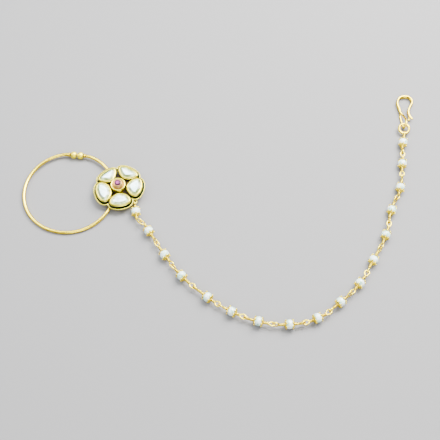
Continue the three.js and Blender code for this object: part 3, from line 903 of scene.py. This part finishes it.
def make_collet():
    """The centre's stepped collet: a drum with a grooved top, and a cone in the second slot."""
    foot = COLLET_DIAMETER / 2
    mouth = COLLET_MOUTH / 2
    bore = CENTRE_STONE_DIAMETER / 2 + 0.02
    shoulder = PLATE_TOP + COLLET_SHOULDER
    top = PLATE_TOP + COLLET_HEIGHT
    groove = (foot + mouth) / 2
    drum = [
        (foot - 0.04, PLATE_TOP - 0.1),
        (foot - 0.04, shoulder - 1.1),
        (foot - 0.12, shoulder - 1.0),
        (foot - 0.12, shoulder - 0.9),
        (foot, shoulder - 0.78),
        (foot, shoulder - 0.4),
        (foot - 0.05, shoulder - 0.16),
        (foot - 0.2, shoulder - 0.02),
        (foot - 0.36, shoulder),
        (groove + 0.12, shoulder - 0.14),
        (groove, shoulder - 0.34),
        (groove - 0.3, shoulder - 0.4),
    ]
    cone = [
        (groove - 0.02, shoulder - 0.5),
        (groove - 0.02, shoulder - 0.3),
        (groove - 0.14, shoulder - 0.06),
        (mouth + 0.2, shoulder + 0.62),
        (mouth + 0.03, top - 0.22),
        (mouth - 0.02, top - 0.06),
        (mouth - 0.14, top),
        (bore + 0.04, top - 0.03),
        (bore, top - 0.12),
        (bore, top - 0.95),
    ]
    shape = turned(drum, COLLET_SIDES, "Z")
    return shape.merge(turned(cone, COLLET_SIDES, "Z", slot=1))


BAIL_STEPS = 48
BAIL_SIDES = 14


def make_bail():
    points = []
    for i in range(BAIL_STEPS):
        angle = math.tau * i / BAIL_STEPS
        points.append((
            loop_place + BAIL_RADIUS * math.cos(angle),
            BAIL_RADIUS * math.sin(angle),
            BAIL_HEIGHT,
        ))
    stem = [(bail_foot - RIM_WIDTH, 0, BAIL_HEIGHT), (loop_place - BAIL_RADIUS, 0, BAIL_HEIGHT)]
    turn = Matrix.Rotation(bail_angle, 4, "Z")
    shape = Shape().merge(tube(points, BAIL_WIRE / 2, BAIL_SIDES, closed=True), turn)
    return shape.merge(tube(stem, BAIL_WIRE / 2, BAIL_SIDES), turn)


def make_setting():
    shape = make_tray()
    for petal in PETALS:
        shape.merge(make_bezel(petal))
    shape.merge(make_collet())
    shape.merge(make_bail())
    return shape.merge(make_rim_grains())


make_setting().build(
    "flower_setting", [setting_gold, ruby_reflection_gold], "gold", ["hoop_and_setting"], on_flower,
)


HEART_EDGE = PETAL_CIRCLE


def make_enamel_floor():
    """The channel's floor, its inner part in the second slot, dark brown as painted shade."""
    inner = rim_inner - 0.02
    heart = np.minimum(inner, HEART_EDGE)
    shape = loft([
        flower_ring(inner * 0.2, PLATE_TOP + 0.05),
        flower_ring(inner, PLATE_TOP + 0.05),
        flower_ring(inner, ENAMEL_TOP + 0.05),
        flower_ring(inner - 0.12, ENAMEL_TOP - 0.02),
        flower_ring(heart - 0.2, ENAMEL_TOP - 0.03),
        flower_ring(heart - 0.25, ENAMEL_TOP - 0.05),
        flower_ring(heart * 0.2, ENAMEL_TOP - 0.06),
    ])
    heart_faces = 2 * FLOWER_STEPS
    end_faces = 2 * FLOWER_STEPS
    shape.slots[-heart_faces - end_faces:-end_faces] = [1] * heart_faces
    return shape


def make_enamel_walls():
    """A skin of enamel up the bezels' walls; where it is in the flower's heart it takes the second
    slot, dark brown as painted shade.
    """
    shape = Shape()
    wall_top = BEZEL_TOP - BEZEL_SLOPE
    back = -ENAMEL_SKIN - 0.02
    levels = [
        (back, ENAMEL_TOP - 0.2),
        (0.0, ENAMEL_TOP - 0.2),
        (0.0, wall_top - 0.12),
        (-0.04, wall_top - 0.05),
        (back, wall_top - 0.05),
    ]
    for petal in PETALS:
        rings = [petal_ring(petal, grow, height, BEZEL_STEPS) for grow, height in levels]
        column_slots = [int(math.hypot(x, y) < HEART_EDGE) for x, y, _ in rings[0]]
        skin = loft(rings, looped=True)
        skin.slots = column_slots * len(levels)
        shape.merge(skin)
    return shape


enamel = make_enamel_floor().merge(make_enamel_walls())
enamel_nodes = ["enamel_band", "enamel_heart"]
enamel.build("flower_enamel", [green_enamel, shaded_heart_enamel], "enamel", enamel_nodes, on_flower)

CROWN_FACETS = 12
# The girdle's points for each facet of the crown
FACET_STEPS = 4


def make_petal_stone(petal):
    """A flat cut stone: a girdle under the bezel's lip, a crown of facets and a table."""
    count = CROWN_FACETS * FACET_STEPS
    girdle = -BEZEL_WIDTH + 0.02
    girdle_height = GIRDLE_TOP - 0.1
    low_ring = petal_ring(petal, girdle - 0.35, girdle_height - STONE_DEPTH, count)
    girdle_ring = petal_ring(petal, girdle, girdle_height, count)
    corners = petal_ring(petal, girdle - STONE_CROWN_WIDTH, GIRDLE_TOP + STONE_CROWN, CROWN_FACETS)
    table_start = 2 * count
    faces = [tuple(reversed(range(count)))]
    for i in range(count):
        following = (i + 1) % count
        faces.append((i, following, count + following, count + i))
    faces.append(tuple(range(table_start, table_start + CROWN_FACETS)))
    crown = []
    for k in range(CROWN_FACETS):
        corner = table_start + k
        following = table_start + (k + 1) % CROWN_FACETS
        kite = [count + (k * FACET_STEPS + i) % count for i in range(FACET_STEPS + 1)]
        crown.append((*kite, corner))
        crown.append((kite[-1], following, corner))
    shape = Shape().add([*low_ring, *girdle_ring, *corners], [*faces, *crown], smooth=False)
    shape.slots[-len(crown):] = [1] * len(crown)
    return shape


# The third stone gets a darker copy of the white stone: painted shade
STONE_TABLES = [white_stone, white_stone, shaded_stone, white_stone, white_stone]
for number, (petal, table) in enumerate(zip(PETALS, STONE_TABLES), 1):
    node = f"petal_stone_{number}"
    looks = [table, stone_crown]
    make_petal_stone(petal).build(f"flat_stone_{number}", looks, "white_stone", [node], on_flower)


CENTRE_FACETS = 10


def make_centre_stone():
    """A round stone with a crown of facets, in the second slot, and a table."""
    radius = CENTRE_STONE_DIAMETER / 2
    girdle = PLATE_TOP + COLLET_HEIGHT - 0.1
    # radius, height and turn in facets
    levels = [
        (radius * 0.5, girdle - 0.7, 0),
        (radius, girdle - 0.12, 0),
        (radius, girdle - 0.03, 0),
        (radius * 0.86, girdle + 0.16, 0.5),
        (radius * 0.58, girdle + 0.38, 0),
    ]
    rings = []
    for reach, height, turn in levels:
        ring = []
        for i in range(CENTRE_FACETS):
            angle = math.tau * (i + turn) / CENTRE_FACETS
            ring.append((reach * math.cos(angle), reach * math.sin(angle), height))
        rings.append(ring)
    shape = loft(rings, smooth=False)
    crown_faces = (len(levels) - 1) * CENTRE_FACETS
    shape.slots[:crown_faces] = [1] * crown_faces
    return shape


make_centre_stone().build(
    "ruby", [pink_stone, pink_crown], "pink_stone", ["centre_stone"], on_flower,
)


# Chain
PEARL_BANDS = 30
PEARL_SIDES = 44
PEARL_BORE_INSET = 1.2
PEARL_WAVES = 3
PEARL_WAVE_HEIGHT = 0.008
PEARL_LARGEST = 1.012


def make_pearl():
    """A drilled pearl that is a little out of round."""
    radius = PEARL_DIAMETER / 2
    waves = [(rng.random() * math.tau, rng.random() * math.tau) for _ in range(PEARL_WAVES)]
    rings = []
    for i in range(PEARL_BANDS + 1):
        polar = polar_angle(i, PEARL_BANDS, PEARL_BORE_INSET)
        ring = []
        for k in range(PEARL_SIDES):
            angle = math.tau * k / PEARL_SIDES
            swell = 1.0
            for order, (a, b) in enumerate(waves, 1):
                wave = math.sin(order * angle + a) * math.sin((order + 1) * polar + b)
                swell += PEARL_WAVE_HEIGHT * wave
            ring.append(on_ball(radius * min(swell, PEARL_LARGEST), polar, angle))
        rings.append(ring)
    return loft(rings)


# A cap's angles in degrees: its reach round the pearl between two grains, what it reaches further at a
# grain, where the grains lie, and how far its turn about the pin may be off
CAP_REACH = 42
CAP_SCALLOP = 7
CAP_GRAIN_POLAR = 51
CAP_TURN = 6

CAP_GRAINS = 7
CAP_GRAIN_RADIUS = 0.36
CAP_GRAIN_SPREAD = 0.1
CAP_GRAIN_REACH = CAP_INNER + 0.17
STEPS_PER_GRAIN = 8


def make_cap(side, phase):
    """A cap with a scalloped edge and a ring of grains."""
    sides = CAP_GRAINS * STEPS_PER_GRAIN
    outer = CAP_INNER + 0.16
    inner = CAP_INNER - 0.06
    levels = [
        (outer, 0.12),
        (outer + 0.02, 0.3),
        (outer + 0.03, 0.5),
        (outer + 0.02, 0.72),
        (outer, 0.9),
        (outer - 0.03, 1.0),
        (inner, 0.98),
        (inner, 0.6),
        (inner, 0.15),
    ]
    rings = []
    for reach, share in levels:
        ring = []
        for k in range(sides):
            angle = math.tau * k / sides
            scallop = 0.5 + 0.5 * math.cos(CAP_GRAINS * (angle - phase))
            polar = math.radians(share * (CAP_REACH + CAP_SCALLOP * scallop))
            ring.append(on_ball(reach, polar, angle, side))
        rings.append(ring if side < 0 else list(reversed(ring)))
    shape = loft(rings)
    for k in range(CAP_GRAINS):
        angle = phase + math.tau * k / CAP_GRAINS
        place = on_ball(CAP_GRAIN_REACH, math.radians(CAP_GRAIN_POLAR), angle, side)
        size = CAP_GRAIN_RADIUS * (1 + CAP_GRAIN_SPREAD * (rng.random() - 0.5))
        shape.merge(ball(place, size, sides=12, bands=8))
    return shape


COIL_RADIUS = 0.21
COIL_PITCH = 0.43
COIL_STEPS = 18
SHORTEST_COIL = 0.05


def make_coil(start, end, outer_radius):
    """Wire wound close round the pin, from start to end along X."""
    core = [(PIN_WIRE / 2, min(start, end)), (PIN_WIRE / 2, max(start, end))]
    shape = turned(core, sides=14)
    length = abs(end - start) - 2 * COIL_RADIUS
    if length <= SHORTEST_COIL:
        return shape
    turns = max(1.0, length / COIL_PITCH)
    steps = int(turns * COIL_STEPS)
    reach = outer_radius - COIL_RADIUS
    sign = 1 if end > start else -1
    begin = start + sign * COIL_RADIUS
    points = []
    for i in range(steps + 1):
        share = i / steps
        angle = math.tau * turns * share
        along = begin + sign * length * share
        points.append((along, reach * math.cos(angle), reach * math.sin(angle)))
    return shape.merge(tube(points, COIL_RADIUS, sides=8))


EYE_STEPS = 44


def make_eye(start, direction, length, turn):
    """A drop-shaped eye: narrow at the neck, round where it holds the next one."""
    half_length = (length - PIN_WIRE) / 2
    half_width = (min(EYE_WIDTH, length) - PIN_WIRE) / 2
    sideways = Vector((0, 0, 1)).cross(direction).normalized()
    upwards = direction.cross(sideways)
    middle = start + direction * half_length
    tilt = math.radians(turn)
    points = []
    for i in range(EYE_STEPS):
        t = math.tau * i / EYE_STEPS
        along = half_length * math.cos(t)
        drop = 0.9 + 0.2 * math.cos(t)
        across = half_width * math.sin(t) * drop
        flat = across * math.cos(tilt)
        over = across * math.sin(tilt)
        points.append(middle + direction * along + sideways * flat + upwards * over)
    return tube(points, PIN_WIRE / 2, sides=12, closed=True)


COIL_IN_CAP = 0.1
COIL_PAST_NECK = 0.12


def make_pin(i):
    """The pin of pearl i with its caps, wound necks and eyes, and where its pearl lies."""
    is_first = i == 0
    is_last = i == last_pearl
    after = last_neck if is_last else necks[i]
    before = first_neck if is_first else necks[i - 1]
    start = neck_end(i, 1, after)
    end = neck_end(i, -1, before)
    held = ring_near if is_last else neck_end(i + 1, -1, necks[i])
    holder = bail_start if is_first else neck_end(i - 1, 1, necks[i - 1])
    heading = math.atan2(pearl_axes[i].y, pearl_axes[i].x)
    place = Matrix.Translation(pearl_places[i]) @ Matrix.Rotation(heading, 4, "Z")
    bottom = -math.pi / 2
    shape = Shape()
    for side, neck in ((1, after), (-1, before)):
        phase = bottom + math.pi / CAP_GRAINS + math.radians(rng.uniform(-CAP_TURN, CAP_TURN))
        shape.merge(make_cap(side, phase), place)
        foot = side * (CAP_INNER - COIL_IN_CAP)
        head = side * (CAP_OUTER + neck + COIL_PAST_NECK)
        shape.merge(make_coil(foot, head, NECK_DIAMETER / 2), place)
    turn_after = CHAIN_ROUTE[i][2]
    turn_before = 90 if is_first else 90 - CHAIN_ROUTE[i - 1][2]
    length_before = SHORT_EYE_LENGTH if is_first else EYE_LENGTH
    shape.merge(make_eye(start, (held - start).normalized(), EYE_LENGTH, turn_after))
    shape.merge(make_eye(end, (holder - end).normalized(), length_before, turn_before))
    return shape, place


for i in range(len(pearl_places)):
    number = f"{i + 1:02d}"
    pin, place = make_pin(i)
    pin.build(f"wound_pin_{number}", [chain_gold], "gold", [f"pearl_pin_{number}"], shift)
    make_pearl().build(
        f"round_pearl_{number}", [pearl_look], "pearl", [f"pearl_{number}"], shift @ place,
    )

# Jump ring and hook
RING_STEPS = 96
ring_points = []
for i in range(RING_STEPS):
    angle = math.tau * (i + 0.5) / RING_STEPS
    ring_points.append((ring_radius * math.cos(angle), ring_radius * math.sin(angle), 0))
tilted = Matrix.Translation(ring_middle) @ Matrix.Rotation(ring_slope, 4, "X")
tube(ring_points, RING_WIRE / 2, sides=24, closed=True).build(
    "link_ring", [wire_gold], "gold", ["jump_ring"], shift @ tilted,
)


HOOK_STEPS = 520
# The wire's first radii from each of its tips, as shares of its full one
HOOK_TIPS = (0.45, 0.74, 0.9, 0.97)


def make_hook():
    """A doubled wire: round the bow on top, round the eye, and back round the bow below."""
    lowest = HOOK_WIRE / 2
    ring_top = RING_LOW + 2 * ring_radius * math.sin(ring_slope) + RING_WIRE / 2
    upper = lowest + HOOK_WIRE + STRAND_GAP
    highest = ring_top + HOOK_WIRE / 2 + LINK_GAP

    def plan(across, along, z):
        return Vector((across * HOOK_WIDTH, along * HOOK_LENGTH, z))

    points = [plan(across, along, upper) for across, along in BOW_PLAN]
    points += [plan(a, b, lowest + (highest - lowest) * high) for a, b, high in EYE_PLAN]
    points += [plan(a, b, lowest) for a, b in reversed([FORKED_TIP, *BOW_PLAN[1:]])]
    path = smooth_path(points, HOOK_STEPS)
    radii = [HOOK_WIRE / 2] * len(path)
    for i, share in enumerate(HOOK_TIPS):
        radii[i] = radii[-1 - i] = HOOK_WIRE / 2 * share
    return tube(path, radii, sides=18)


ring_far = ring_middle.y + ring_radius * math.cos(ring_slope)
hook_place = Matrix.Translation((
    ring_middle.x + HOOK_SHIFT, ring_far - (RING_WIRE + HOOK_WIRE) / 2 - LINK_GAP, 0,
))
make_hook().build("folded_hook", [wire_gold], "gold", ["hair_hook"], shift @ hook_place)


# Floor, light and camera. Places, lengths and sizes are in metres, apart from the camera's place.
FLOOR_SIZE = 4
FLOOR_HEIGHT = -0.00002
FLOOR_COLOUR = (0.18, 0.18, 0.184, 1)


def make_floor():
    bpy.ops.mesh.primitive_plane_add(size=FLOOR_SIZE, location=(0, 0, FLOOR_HEIGHT))
    floor = bpy.context.object
    floor.name = "floor"
    look, _, _, shader = new_material("floor")
    shader.inputs["Base Color"].default_value = FLOOR_COLOUR
    shader.inputs["Roughness"].default_value = 0.8
    floor.data.materials.append(look)


def area_light(name, place, target, size, power, colour):
    data = bpy.data.lights.new(name, "AREA")
    data.shape = "RECTANGLE"
    data.size, data.size_y = size
    data.energy = power
    data.color = colour
    light = bpy.data.objects.new(name, data)
    light.location = place
    light.rotation_euler = (Vector(target) - Vector(place)).to_track_quat("-Z", "Y").to_euler()
    bpy.context.scene.collection.objects.link(light)


# name, place, target, size, watts and colour
LIGHTS = [
    ("ceiling", (0, 0, 1.8), (0, 0, 0), (3.0, 3.0), 45.0, (1.0, 0.99, 0.97)),
    ("key", (0.25, 0.28, 0.45), (0, 0, 0), (0.4, 0.4), 22.0, (1.0, 0.98, 0.95)),
    ("fill", (-0.4, 0.1, 0.4), (0, 0, 0), (0.4, 0.4), 3.5, (0.95, 0.97, 1.0)),
    ("sheen", (-0.08, 0.27, 0.44), (-0.04, 0, 0), (0.18, 0.18), 2.6, (0.92, 0.98, 1.0)),
    ("front", (0.1, -0.5, 0.3), (0, 0, 0), (0.4, 0.15), 3.0, (1.0, 1.0, 1.0)),
]
make_floor()
for row in LIGHTS:
    area_light(*row)

WORLD_COLOUR = (0.75, 0.77, 0.8, 1)
WORLD_STRENGTH = 0.35
world = bpy.data.worlds.new("studio")
world.use_nodes = True
background = world.node_tree.nodes["Background"]
background.inputs["Color"].default_value = WORLD_COLOUR
background.inputs["Strength"].default_value = WORLD_STRENGTH
bpy.context.scene.world = world

# The camera's place over the floor in millimetres, and its pitch in degrees below level
CAMERA_FOOT = (-1.676, -187.901)
CAMERA_HEIGHT = 329.2
CAMERA_PITCH = 61.27
IMAGE_WIDTH = 440
FOCAL_PIXELS = 850
SENSOR_WIDTH = 36
camera_data = bpy.data.cameras.new("camera")
camera_data.sensor_width = SENSOR_WIDTH
camera_data.lens = FOCAL_PIXELS / IMAGE_WIDTH * SENSOR_WIDTH
camera_data.clip_start = 0.01
camera = bpy.data.objects.new("camera", camera_data)
camera.location = Vector((*CAMERA_FOOT, CAMERA_HEIGHT)) * MM
camera.rotation_euler = (math.radians(90 - CAMERA_PITCH), 0, 0)
bpy.context.scene.collection.objects.link(camera)
bpy.context.scene.camera = camera
